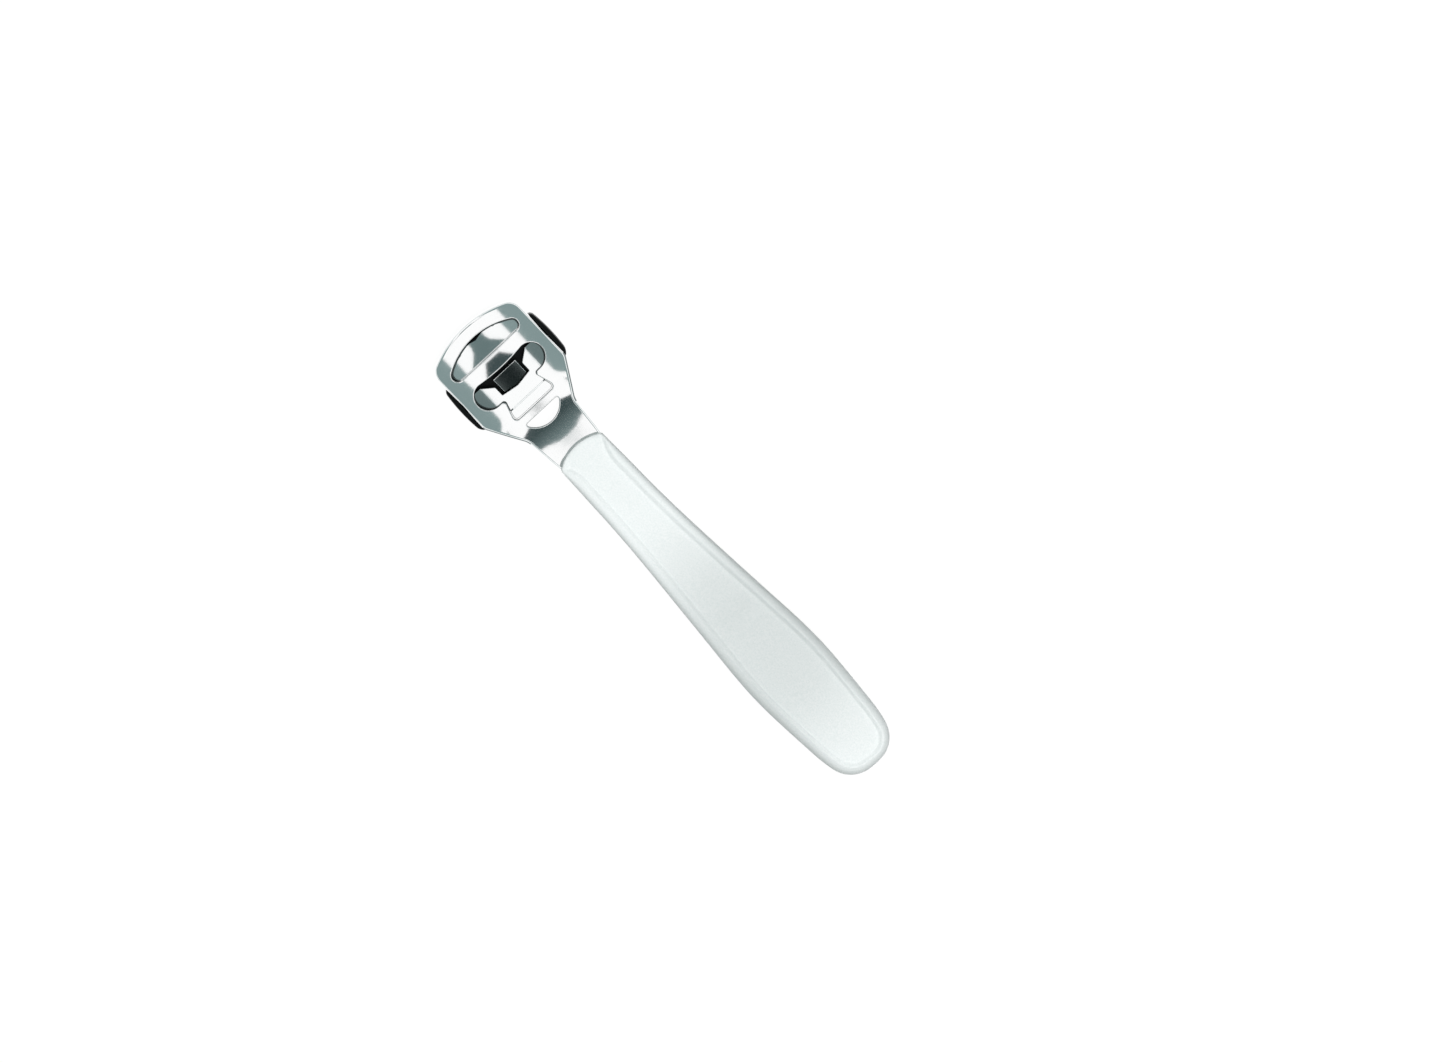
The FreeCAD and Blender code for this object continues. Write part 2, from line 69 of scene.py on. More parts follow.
# Head frame
FRAME_SIDE = 15.15
CROWN = 6.6                 # the level of the top on the centre line
SHEET = 1.0
BOW = 62.0                  # radius of the bow across the head
NECK_BOW = 190.0            # the neck is flatter
FLATTEN_START, FLATTEN_END = 25, 34
FLATTEN_DROP = 0.22
RIM_BOTTOM = 3.0
RIM_ROUND = 0.9
RIM_FOOT_ROUND = 0.3
NOSE_RADIUS = 30.0
NOSE_CORNER = 4.4
SHOULDER, SHOULDER_ROUND = 24.6, 4.0
NECK_START, NECK_START_SIDE, NECK_START_ROUND = 35.3, 8.75, 5.0
NECK_MIDDLE, NECK_MIDDLE_SIDE, NECK_MIDDLE_ROUND = 44.5, 7.93, 3.0
NECK_END, NECK_END_SIDE, NECK_END_ROUND = 48.5, 7.4, 1.5    # inside the handle
NECK_BENDS = ((31.2, 33.6, 0.0276), (33.6, 41.2, 0.0145))    # from, to, curvature
OPENING_ROUND = 0.32
OPENING_FOOT_ROUND = 0.1
MOUTH_FRONT, MOUTH_BACK = 4.0, 10.65
MOUTH_RADIUS = 20.6
MOUTH_SIDE, MOUTH_CORNER = 11.85, 1.85
BRIDGE_BULGE = 0.5
BRIDGE_BEND, BRIDGE_CURVATURE = 8.4, 0.0185    # from here to the window it bends down
SAG_END = 21.5              # where the frame is level again beside the window
WINDOW_FRONT, WINDOW_BACK = 15.2, 22.5
WINDOW_SIDE = 11.75
THROAT_SIDE, THROAT_ROUND = 5.45, 0.9
TAIL_END, TAIL_SIDE, TAIL_CORNER = 28.9, 7.45, 1.2
MOON_FRONT, MOON_BACK = 31.25, 35.25
MOON_SIDE, MOON_CORNER = 6.1, 0.6
RIM_SHADE_STATIONS = (24.0, 36.0)     # between these stations the rim is painted dark as a line of shade

# Blade clip, under the frame
CLIP_LEVEL = 5.3
CLIP_SHEET = 0.6
CLIP_EDGE = 0.14
CLIP_BOW = 50.0
CLIP_SIDE = 13.55
CLIP_END = 24.7
CLIP_RAIL = 1.1             # beside the clip's own window
DROOP_START = 11.0          # ahead of it the plate slopes and curves down
DROOP_SLOPE, DROOP_RADIUS = 0.05, 40.0
LIP_START, LIP_SLANT, LIP_CURVATURE, LIP_REACH = 5.3, 0.2, 0.1, 1.5
FOLD_LAP, FOLD_CURVATURE, FOLD_REACH = 0.45, 0.3, 1.2    # along the edge of the mouth
STRAP_SIDE = 7.2
TAB_END, TAB_CORNER = 28.6, 0.9
TAB_RISE = 0.7
STEP_START, STEP_END = 25.6, 25.95      # the step up to the tab
NOTCH_START = WINDOW_FRONT + 0.55
NOTCH_SIDE, NOTCH_FLARE, NOTCH_SLOPE = 5.0, 3.3, 2.5
NOTCH_END, NOTCH_POINT = 21.15, 21.9    # at its sides and in its middle
TONGUE_START, TONGUE_END, TONGUE_SIDE = 16.4, 22.8, 4.1
TONGUE_DROP, TONGUE_SLOPE = 0.75, 0.105
LOBE_SIDE = 8.3             # outside it the plate is painted darker as the shade of the window's ends
RECESS_START, RECESS_SLANT, RECESS_SIDE = 5.2, 0.22, 5.0    # ahead of this it is painted black as shade

# Blade
BLADE_SHEET = 0.22
BLADE_OVERHANG = 0.35       # how far it shows ahead of the bridge
BLADE_HALF, BLADE_SNIP_START, BLADE_SNIP = 13.4, 11.0, 0.7

# Handle
MOUTH_LIP = 44.7            # the front of its arched mouth
MOUTH_CORNER_ROUND = 1.3
SIDE_POINTS = ((47.0, 7.55), (54.6, 7.74), (67.0, 7.97), (91.0, 9.325), (112.0, 10.95),
               (129.5, 11.95), (148.0, 10.95))
HANDLE_END = 165.0
BUTT_SIDE, BUTT_CORNER, BUTT_RADIUS = 9.6, 8.5, 26.0
BUTT_TAPER = math.radians(14)
CREST, CREST_LEVEL = 106.9, 9.2
MOUTH_FALL, BUTT_FALL = 2.2, 1.6        # how far the top falls from the crest to its ends
BOTTOM_ROUND = 2.4
TOP_ROUND = 1.8
LIP_ROUND = 0.6             # of the top edge at the mouth
LIP_ROUND_START, LIP_ROUND_END = 46.9, 56.0
LIP_BOW, LIP_BOW_START, LIP_BOW_END = 0.014, 45, 55     # the top is bowed near the mouth
PANEL_DEPTH = 0.7
PANEL_BLEND = 0.85          # half the width of the slope into the panel
GROOVE_DEPTH, GROOVE_PLACE, GROOVE_WIDTH = 0.15, 0.35, 0.45
RIM_WIDTH, RIM_WIDTH_LOSS = 3.6, 0.75   # the rim is narrower on one side
RIM_CROWN, RIM_CROWN_START = 0.06, 0.7  # it curves down from this far outside its foot
RIM_CHAMFER, CHAMFER_START, CHAMFER_END = 0.55, 92, 140     # and slopes towards the butt
PINCH_START, PINCH_LENGTH = 45, 8       # where the rim starts to grow behind the mouth

# The order of the materials of the frame and of the clip; all but the first are chrome darkened
# with painted shade
BRIGHT, INNER_SHADE, RIM_SHADE = 0, 1, 2
RECESS_SHADE, SIDE_SHADE = 2, 3

BATCH = 2000                # points handled at once, to save memory


# Outlines -----------------------------------------------------------------------------

def arc_points(centre, radius, start, end, step=0.12):
    """Points along an arc; angles in radians."""
    count = max(2, int(abs(end - start) * radius / step) + 2)
    angles = np.linspace(start, end, count)
    return [(centre[0] + radius * math.cos(a), centre[1] + radius * math.sin(a)) for a in angles]


def rounded(points):
    """A run through (station, side, corner radius) points; without a radius a point stays."""
    run = []
    for index, point in enumerate(points):
        here = np.array(point[:2], dtype=float)
        if len(point) < 3:
            run.append(here)
            continue
        radius = point[2]
        into = np.array(points[index - 1][:2]) - here
        out = np.array(points[index + 1][:2]) - here
        into /= np.linalg.norm(into)
        out /= np.linalg.norm(out)
        half = math.acos(np.clip(into @ out, -1, 1)) / 2
        reach = radius / math.tan(half)
        centre = here + (into + out) / np.linalg.norm(into + out) * radius / math.sin(half)
        first, last = here + into * reach - centre, here + out * reach - centre
        a = math.atan2(first[1], first[0])
        turn = (math.atan2(last[1], last[0]) - a + math.pi) % (2 * math.pi) - math.pi
        run += [np.array(p) for p in arc_points(centre, radius, a, a + turn)]
    return run


def closed(half, spacing, hole=False):
    """A loop from its half at positive sides, resampled evenly; the solid lies to its left."""
    half = [np.array(p[:2], dtype=float) for p in half]
    other = [p * (1, -1) for p in half[::-1]]
    meets = abs(half[0][1]) < 1e-9
    points = np.array(other + half[1:] if meets else other + half)
    points = points[np.r_[True, np.linalg.norm(np.diff(points, axis=0), axis=1) > 1e-6]]
    if np.linalg.norm(points[0] - points[-1]) < 1e-6:
        points = points[:-1]
    ring = np.vstack([points, points[:1]])
    along = np.r_[0, np.cumsum(np.linalg.norm(np.diff(ring, axis=0), axis=1))]
    count = int(along[-1] / spacing)
    at = np.linspace(0, along[-1], count, endpoint=False)
    loop = np.column_stack([np.interp(at, along, ring[:, i]) for i in (0, 1)])
    area = np.sum(loop[:, 0] * np.roll(loop[:, 1], -1) - loop[:, 1] * np.roll(loop[:, 0], -1))
    return loop if (area > 0) != hole else loop[::-1]


def inward(loop):
    """At each point of a loop, the unit vector into the solid."""
    along = np.roll(loop, -1, axis=0) - np.roll(loop, 1, axis=0)
    along /= np.linalg.norm(along, axis=1)[:, None]
    return np.column_stack([-along[:, 1], along[:, 0]])


def nose(apex, radius, side, corner):
    """Half of a nose: an arc across the tool and a corner that leads into a straight side."""
    centre = apex + radius
    corner_y = side - corner
    reach = math.sqrt((radius - corner) ** 2 - corner_y ** 2)
    angle = math.atan2(corner_y, reach)
    front = arc_points((centre, 0), radius, math.pi, math.pi - angle)
    turn = arc_points((centre - reach, corner_y), corner, math.pi - angle, math.pi / 2)
    return front + turn[1:]


def smoothstep(low, high, value):
    share = np.clip((value - low) / (high - low), 0, 1)
    return share * share * (3 - 2 * share)


# Surfaces: each gives the height at stations and sides ----------------------------------

def frame_top(s, y):
    """The frame's upper face: bowed, with a sloping bridge and a bent neck."""
    flat = smoothstep(FLATTEN_START, FLATTEN_END, s)
    bow = 1 / BOW + (1 / NECK_BOW - 1 / BOW) * flat
    z = CROWN - y * y * bow / 2 - FLATTEN_DROP * flat
    reach, length = WINDOW_FRONT - BRIDGE_BEND, SAG_END - WINDOW_FRONT
    bent = np.clip(s - BRIDGE_BEND, 0, reach)
    back = np.clip((s - WINDOW_FRONT) / length, 0, 1)
    z = z - 0.5 * BRIDGE_CURVATURE * bent ** 2 * (1 - 3 * back ** 2 + 2 * back ** 3)
    z = z - BRIDGE_CURVATURE * reach * length * (back - 2 * back ** 2 + back ** 3)
    for start, end, curvature in NECK_BENDS:
        bent = np.clip(s - start, 0, end - start)
        z = z - curvature * (0.5 * bent ** 2 + (end - start) * np.clip(s - end, 0, None))
    return z


def frame_under(s, y):
    return frame_top(s, y) - SHEET


def frame_ceiling(s, y):
    """The frame's underside, kept above the foot of its rim."""
    return np.maximum(frame_under(s, y), RIM_BOTTOM + 0.2)


def clip_top(s, y):
    """The clip's plate, with its drooping front and its raised tab."""
    z = CLIP_LEVEL - y * y / (2 * CLIP_BOW)
    ahead = np.clip(DROOP_START - s, 0, None)
    droop = DROOP_SLOPE * ahead + ahead ** 2 / (2 * DROOP_RADIUS)
    lip = LIP_CURVATURE * np.clip(LIP_START - LIP_SLANT * np.abs(y) - s, 0, LIP_REACH) ** 2
    beyond = np.hypot(s - MOUTH_FRONT - MOUTH_RADIUS, y) - MOUTH_RADIUS + FOLD_LAP
    fold = FOLD_CURVATURE * np.clip(beyond, 0, FOLD_REACH) ** 2 * (s < MOUTH_BACK - 0.65)
    return z - droop - np.maximum(lip, fold) + TAB_RISE * smoothstep(STEP_START, STEP_END, s)


def tongue_top(s, y):
    """The tongue slopes down from the blade and runs in under the plate."""
    z = CLIP_LEVEL - TONGUE_DROP - y * y / (2 * CLIP_BOW)
    return z - TONGUE_SLOPE * (s - TONGUE_START)


def blade_top(s, y):
    """The blade lies against the underside of the bridge."""
    return frame_under(s, y) - 0.02


def level(height):
    return lambda s, y: np.full(len(s), height)


# Meshes -------------------------------------------------------------------------------

class Skin:
    """Vertices with their normals, and faces with their material numbers, bright or darkened with
    painted shade, of one piece.
    """

    def __init__(self):
        self.points, self.normals, self.faces, self.finish_or_shade = [], [], [], []
        self.count = 0

    def add(self, plan, z, normals):
        self.points.append(np.column_stack([plan, np.broadcast_to(z, len(plan))]))
        self.normals.append(np.broadcast_to(normals, (len(plan), 3)))
        indices = np.arange(self.count, self.count + len(plan))
        self.count += len(plan)
        return indices

    def join(self, low, high, finish_or_shade=BRIGHT):
        """Faces between two rings; the first is the outer or lower one."""
        self.faces += list(zip(low, np.roll(low, -1), np.roll(high, -1), high))
        self.finish_or_shade += [int(number) for number in np.broadcast_to(finish_or_shade, len(low))]

    def plan(self, indices):
        return np.vstack(self.points)[indices][:, :2]


def slope_normals(surface, plan, up):
    """Normals of a surface, turned up (1) or down (-1)."""
    step = 0.02
    s, y = plan[:, 0], plan[:, 1]
    ds = (surface(s + step, y) - surface(s - step, y)) / (2 * step)
    dy = (surface(s, y + step) - surface(s, y - step)) / (2 * step)
    normals = np.column_stack([-ds, -dy, np.ones(len(plan))])
    return up * normals / np.linalg.norm(normals, axis=1)[:, None]


def rolled_edge(skin, loop, surface, up, radius, steps):
    """Rings that roll an edge over, from facing sideways to facing up (or down)."""
    into = inward(loop)
    radius = np.broadcast_to(radius, len(loop))
    rings = []
    for angle in np.linspace(0, math.pi / 2, steps + 1):
        plan = loop + into * (radius * (1 - math.cos(angle)))[:, None]
        z = surface(plan[:, 0], plan[:, 1]) - up * radius * (1 - math.sin(angle))
        side = np.column_stack([-into, np.zeros(len(loop))])
        normals = math.cos(angle) * side + math.sin(angle) * slope_normals(surface, plan, up)
        normals /= np.linalg.norm(normals, axis=1)[:, None]
        rings.append(skin.add(plan, z, normals))
    return rings


def inside(points, loop):
    """Whether each point is within a loop."""
    x, y = points[:, 0][:, None], points[:, 1][:, None]
    ax, ay = loop[:, 0], loop[:, 1]
    bx, by = np.roll(ax, -1), np.roll(ay, -1)
    result = np.zeros(len(points), dtype=bool)
    for part in range(0, len(points), BATCH):
        px, py = x[part:part + BATCH], y[part:part + BATCH]
        crosses = (ay > py) != (by > py)
        with np.errstate(divide="ignore", invalid="ignore"):
            reach = (bx - ax) * (py - ay) / (by - ay) + ax
        result[part:part + BATCH] = (np.sum(crosses & (px < reach), axis=1) % 2) == 1
    return result


def within(points, loops):
    """Whether each point is within the first loop and outside the others."""
    keep = inside(points, loops[0])
    for loop in loops[1:]:
        keep &= ~inside(points, loop)
    return keep


def clear_of(points, others, distance):
    """The points that lie at least a distance from all the others."""
    keep = np.ones(len(points), dtype=bool)
    for part in range(0, len(points), BATCH):
        gap = points[part:part + BATCH, None, :] - others[None, :, :]
        keep[part:part + BATCH] = np.min(np.sum(gap ** 2, axis=2), axis=1) > distance ** 2
    return points[keep]


def hex_grid(low, high, spacing):
    """Points in staggered rows."""
    rows = []
    for index, y in enumerate(np.arange(low[1], high[1], spacing * math.sqrt(0.75))):
        row = np.arange(low[0] + (index % 2) * spacing / 2, high[0], spacing)
        rows.append(np.column_stack([row, np.full(len(row), y)]))
    return np.vstack(rows)


def grid_rows(stations, sides, spacing):
    """Points in rows across the tool."""
    across = np.arange(sides[0], sides[1] + spacing / 2, spacing)
    return np.array([(s, y) for s in stations for y in across])


def fill(skin, rings, surface, up, spacing, finish_or_shade=BRIGHT, extra=None):
    """Closes the face between rings, the outer one first, with points on a surface.

    The extra points take the place of the grid's where the surface bends sharply. Which
    material each face takes, bright or darkened with painted shade, is given as a number,
    or as a function that gives one for each triangle's middle.
    """
    loops = [skin.plan(ring) for ring in rings]
    grid = hex_grid(loops[0].min(axis=0), loops[0].max(axis=0), spacing)
    if extra is not None:
        grid = np.vstack([extra, clear_of(grid, extra, 0.55 * spacing)])
    grid = grid[within(grid, loops)]
    grid = clear_of(grid, np.vstack(loops), 0.5 * spacing if extra is None else 0.12)
    new = skin.add(grid, surface(grid[:, 0], grid[:, 1]), slope_normals(surface, grid, up))
    indices = np.concatenate(list(rings) + [new])
    plan = np.vstack(loops + [grid])
    edges, start = [], 0
    for ring in rings:
        count = len(ring)
        edges += [(start + i, start + (i + 1) % count) for i in range(count)]
        start += count
    result = delaunay_2d_cdt([Vector(p) for p in plan], edges, [], 0, 1e-7, True)
    origin = [ids[0] if ids else -1 for ids in result[3]]
    triangles = np.array([[origin[v] for v in face] for face in result[2]])
    triangles = triangles[np.all(triangles >= 0, axis=1)]
    triangles = triangles[within(plan[triangles].mean(axis=1), loops)]
    a, b, c = (plan[triangles[:, i]] for i in range(3))
    area = (b[:, 0] - a[:, 0]) * (c[:, 1] - a[:, 1]) - (b[:, 1] - a[:, 1]) * (c[:, 0] - a[:, 0])
    real = np.abs(area) > 1e-9
    triangles, area = triangles[real], area[real]
    flip = (area > 0) != (up > 0)
    triangles[flip] = triangles[flip][:, ::-1]
    number = finish_or_shade(plan[triangles].mean(axis=1)) if callable(finish_or_shade) else finish_or_shade
    skin.faces += [tuple(face) for face in indices[triangles]]
    skin.finish_or_shade += [int(value) for value in np.broadcast_to(number, len(triangles))]


def sheet_shell(skin, outer, holes, top, thickness, edge, spacing,
                face=BRIGHT, wall=BRIGHT, extra=None):
    """A thin sheet with rolled edges all round and in its openings."""
    def under(s, y):
        return top(s, y) - thickness
    uppers, lowers = [], []
    for loop in [outer] + holes:
        upper = rolled_edge(skin, loop, top, 1, edge, 4)
        lower = rolled_edge(skin, loop, under, -1, edge, 2)
        for band, (a, b) in enumerate(zip(upper, upper[1:])):
            skin.join(a, b, wall if band < 2 else BRIGHT)
        skin.join(lower[0], upper[0], wall)
        for a, b in zip(lower, lower[1:]):
            skin.join(b, a, wall)
        uppers.append(upper[-1])
        lowers.append(lower[-1])
    fill(skin, uppers, top, 1, spacing, face, extra)
    fill(skin, lowers, under, -1, 2 * spacing, wall)


def make_piece(name, skin, materials, node):
    """A Blender object from a skin: it rides on the tool and stands for its CAD node."""
    points = np.vstack(skin.points) + (TIP_X / MM, 0, 0)
    mesh = bpy.data.meshes.new(name)
    mesh.from_pydata((points * MM).tolist(), [], [tuple(int(i) for i in f) for f in skin.faces])
    for material in materials:
        mesh.materials.append(material)
    mesh.polygons.foreach_set("material_index", skin.finish_or_shade)
    mesh.polygons.foreach_set("use_smooth", [True] * len(mesh.polygons))
    mesh.update()
    mesh.normals_split_custom_set_from_vertices(np.vstack(skin.normals).tolist())
    piece = bpy.data.objects.new(name, mesh)
    bpy.context.scene.collection.objects.link(piece)
    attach(piece, "root")
    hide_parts(node)


# The head frame -----------------------------------------------------------------------

def frame_outline():
    half = nose(0, NOSE_RADIUS, FRAME_SIDE, NOSE_CORNER)
    half += rounded([half[-1], (SHOULDER, FRAME_SIDE, SHOULDER_ROUND),
                     (NECK_START, NECK_START_SIDE, NECK_START_ROUND),
                     (NECK_MIDDLE, NECK_MIDDLE_SIDE, NECK_MIDDLE_ROUND),
                     (NECK_END, NECK_END_SIDE, NECK_END_ROUND), (NECK_END, 0)])[1:]
    return closed(half, 0.16)


def mouth_outline():
    centre = MOUTH_FRONT + MOUTH_RADIUS
    end = math.asin(MOUTH_SIDE / MOUTH_RADIUS)
    short = end - 1.15 / MOUTH_RADIUS       # the arc stops where the corner begins
    corner = centre - MOUTH_RADIUS * math.cos(end)
    half = arc_points((centre, 0), MOUTH_RADIUS, math.pi, math.pi - short)
    half = half[:-1] + rounded([half[-1], (corner, MOUTH_SIDE, MOUTH_CORNER),
                                (MOUTH_BACK, MOUTH_SIDE, MOUTH_CORNER), (MOUTH_BACK, 0)])
    return closed(half, 0.14, hole=True)


def window_outline():
    front = WINDOW_FRONT - BRIDGE_BULGE
    radius = (WINDOW_BACK - front) / 2
    end_y = WINDOW_SIDE - radius
    bow = (end_y ** 2 + BRIDGE_BULGE ** 2) / (2 * BRIDGE_BULGE)
    angle = math.asin(end_y / bow)
    half = arc_points((WINDOW_FRONT - bow, 0), bow, 0, angle)
    half += arc_points((front + radius, end_y), radius, math.pi, 0)[1:]
    half += rounded([half[-1], (WINDOW_BACK, THROAT_SIDE, THROAT_ROUND),
                     (TAIL_END, TAIL_SIDE, TAIL_CORNER), (TAIL_END, 0)])[1:]
    return closed(half, 0.14, hole=True)


def moon_outline():
    length = MOON_BACK - MOON_FRONT
    radius = (MOON_SIDE ** 2 + length ** 2) / (2 * length)
    centre = MOON_BACK - radius
    start = math.atan2(MOON_SIDE, MOON_FRONT - centre)
    arc = arc_points((centre, 0), radius, start - 1.0 / radius, 0)
    half = rounded([(MOON_FRONT, 0), (MOON_FRONT, MOON_SIDE, MOON_CORNER), arc[0]]) + arc[1:]
    return closed(half, 0.12, hole=True)


def make_frame(materials):
    skin = Skin()
    outer = frame_outline()
    into = inward(outer)
    upper = rolled_edge(skin, outer, frame_top, 1, RIM_ROUND, 9)
    foot = rolled_edge(skin, outer, level(RIM_BOTTOM), -1, RIM_FOOT_ROUND, 3)
    # Along these stations the rim's outer edge bands and foot are chrome painted dark as a line of
    # shade.
    rim = np.where((outer[:, 0] > RIM_SHADE_STATIONS[0]) & (outer[:, 0] < RIM_SHADE_STATIONS[1]), RIM_SHADE, BRIGHT)
    for band, (a, b) in enumerate(zip(upper, upper[1:])):
        skin.join(a, b, rim if band < 5 else BRIGHT)
    skin.join(foot[0], upper[0], rim)
    for a, b in zip(foot, foot[1:]):
        skin.join(b, a, rim)
    heel = outer + into * (SHEET - 0.15)
    inner = outer + into * SHEET
    turned = np.column_stack([into, np.zeros(len(into))])
    # The heel and the inner wall of the rim are chrome painted dark as shade.
    heel_ring = skin.add(heel, RIM_BOTTOM, (0, 0, -1))
    wall_low = skin.add(inner, RIM_BOTTOM + 0.15, turned)
    wall_high = skin.add(inner, frame_ceiling(inner[:, 0], inner[:, 1]), turned)
    skin.join(heel_ring, foot[-1], INNER_SHADE)
    skin.join(wall_low, heel_ring, INNER_SHADE)
    skin.join(wall_high, wall_low, INNER_SHADE)
    uppers, lowers = [upper[-1]], [wall_high]
    for hole in (mouth_outline(), window_outline(), moon_outline()):
        over = rolled_edge(skin, hole, frame_top, 1, OPENING_ROUND, 6)
        below = rolled_edge(skin, hole, frame_under, -1, OPENING_FOOT_ROUND, 2)
        # The walls and outer edge bands of the openings are painted dark as shade, except at the
        # back of the mouth.
        wall = np.where(np.abs(hole[:, 0] - MOUTH_BACK) < 0.1, BRIGHT, INNER_SHADE)
        for band, (a, b) in enumerate(zip(over, over[1:])):
            skin.join(a, b, wall if band < 3 else BRIGHT)
        skin.join(below[0], over[0], wall)
        for a, b in zip(below, below[1:]):
            skin.join(b, a, INNER_SHADE)
        uppers.append(over[-1])
        lowers.append(below[-1])
    fill(skin, uppers, frame_top, 1, 0.7)
    # The underside is chrome painted dark as shade.
    fill(skin, lowers, frame_ceiling, -1, 1.2, INNER_SHADE)
    make_piece("frame", skin, materials, "head_frame")


# The clip and the blade ---------------------------------------------------------------

def tail_wall(station):
    """The side of the window's tail."""
    share = (station - WINDOW_BACK) / (TAIL_END - WINDOW_BACK)
    return THROAT_SIDE + (TAIL_SIDE - THROAT_SIDE) * share


def plate_shade(middles):
    """The plate's front middle is painted black as shade under the frame, and its sides are painted
    darker as shade.
    """
    s, side = middles[:, 0], np.abs(middles[:, 1])
    # The sides beyond the lobe line are painted darker as shade.
    finish_or_shade = np.where((s > WINDOW_FRONT - 1) & (side > LOBE_SIDE), SIDE_SHADE, BRIGHT)
    # The front middle, where the plate dips under the frame, is painted black as shade.
    black = (s < RECESS_START - RECESS_SLANT * side) & (side < RECESS_SIDE)
    return np.where(black, RECESS_SHADE, finish_or_shade)


def make_clip(materials):
    skin = Skin()
    half = nose(MOUTH_FRONT - 1, MOUTH_RADIUS + 1, CLIP_SIDE, 2.8)
    half += rounded([half[-1], (CLIP_END - 2, CLIP_SIDE, 0.5), (CLIP_END, CLIP_SIDE - 2, 0.5),
                     (CLIP_END, STRAP_SIDE, 0.3), (STEP_START - 0.1, STRAP_SIDE, 0.2),
                     (STEP_START, tail_wall(STEP_START) - 0.12, 0.1),
                     (TAB_END, tail_wall(TAB_END) - 0.35, TAB_CORNER), (TAB_END, 0)])[1:]
    front, rail = MOUTH_BACK + 1.6, CLIP_SIDE - CLIP_RAIL
    hole = rounded([(front, 0), (front, rail, 0.4), (NOTCH_START, rail, 0.4),
                    (NOTCH_START, NOTCH_SIDE + NOTCH_FLARE, 0.3),
                    (NOTCH_START + NOTCH_SLOPE, NOTCH_SIDE, 0.4),
                    (NOTCH_END, NOTCH_SIDE, 0.25), (NOTCH_POINT, 0)])
    step_stations = np.linspace(STEP_START - 0.1, STEP_END + 0.1, 9)
    step_rows = grid_rows(step_stations, (-STRAP_SIDE, STRAP_SIDE), 0.3)
    lip_rows = grid_rows(np.arange(MOUTH_FRONT - 0.4, 5.6, 0.11), (-5.6, 5.6), 0.14)
    # Two lines of points on each side keep the edge of the painted shade on the sides straight.
    side_lines = [[(s, sign * (LOBE_SIDE + off)) for s in np.arange(WINDOW_FRONT + 1, 23.2, 0.2)]
                  for sign, off in ((-1, 0.07), (-1, -0.07), (1, -0.07), (1, 0.07))]
    # The clip's walls and underside are chrome painted dark as shade.
    sheet_shell(skin, closed(half, 0.16), [closed(hole, 0.14, hole=True)], clip_top,
                CLIP_SHEET, CLIP_EDGE, 0.7, plate_shade, INNER_SHADE,
                np.vstack([step_rows, lip_rows] + side_lines))
    # The tongue is all chrome painted dark as shade.
    tongue = [(TONGUE_START, 0), (TONGUE_START, TONGUE_SIDE),
              (TONGUE_END, TONGUE_SIDE), (TONGUE_END, 0)]
    sheet_shell(skin, closed(tongue, 0.16), [], tongue_top, CLIP_SHEET, 0.2, 0.4, INNER_SHADE, INNER_SHADE)
    make_piece("clip", skin, materials, "blade_clip")


def make_blade(materials):
    skin = Skin()
    front, back = MOUTH_BACK - BLADE_OVERHANG, WINDOW_FRONT - 0.6
    half = rounded([(front, 0), (front, BLADE_SNIP_START, 0.3),
                    (front + BLADE_SNIP, BLADE_HALF, 0.3), (back - BLADE_SNIP, BLADE_HALF, 0.3),
                    (back, BLADE_SNIP_START, 0.3), (back, 0)])
    sheet_shell(skin, closed(half, 0.16), [], blade_top, BLADE_SHEET, 0.05, 0.6)
    make_piece("blade_strip", skin, materials, "blade")


# The handle ---------------------------------------------------------------------------

def spline_through(points, start_slope, end_slope, step=0.05):
    """A cubic through (station, side) points, as closely spaced points."""
    xs = np.array([p[0] for p in points])
    ys = np.array([p[1] for p in points])
    count = len(xs)
    gaps = np.diff(xs)
    system, right = np.zeros((count, count)), np.zeros(count)
    system[0, 0] = system[-1, -1] = 1
    right[0], right[-1] = start_slope, end_slope
    for i in range(1, count - 1):
        before, after = gaps[i - 1], gaps[i]
        system[i, i - 1:i + 2] = (1 / before, 2 * (1 / before + 1 / after), 1 / after)
        right[i] = 3 * ((ys[i] - ys[i - 1]) / before ** 2 + (ys[i + 1] - ys[i]) / after ** 2)
    slopes = np.linalg.solve(system, right)
    at = np.arange(xs[0], xs[-1], step)
    i = np.clip(np.searchsorted(xs, at, side="right") - 1, 0, count - 2)
    t = (at - xs[i]) / gaps[i]
    y = ((2 * t ** 3 - 3 * t ** 2 + 1) * ys[i] + (t ** 3 - 2 * t ** 2 + t) * gaps[i] * slopes[i]
         + (-2 * t ** 3 + 3 * t ** 2) * ys[i + 1] + (t ** 3 - t ** 2) * gaps[i] * slopes[i + 1])
    return list(zip(at, y))


def butt_half():
    """Half of the butt: a corner arc and a flat arc, from the side to the centre line."""
    arc_centre = HANDLE_END - BUTT_RADIUS
    centre_y = BUTT_SIDE - BUTT_CORNER * math.cos(BUTT_TAPER)
    reach = math.sqrt((BUTT_RADIUS - BUTT_CORNER) ** 2 - centre_y ** 2)
    flat_angle = math.atan2(centre_y, reach)
    corner = arc_points((arc_centre + reach, centre_y), BUTT_CORNER,
                        math.pi / 2 - BUTT_TAPER, flat_angle, 0.05)
    return corner + arc_points((arc_centre, 0), BUTT_RADIUS, flat_angle, 0, 0.05)[1:]


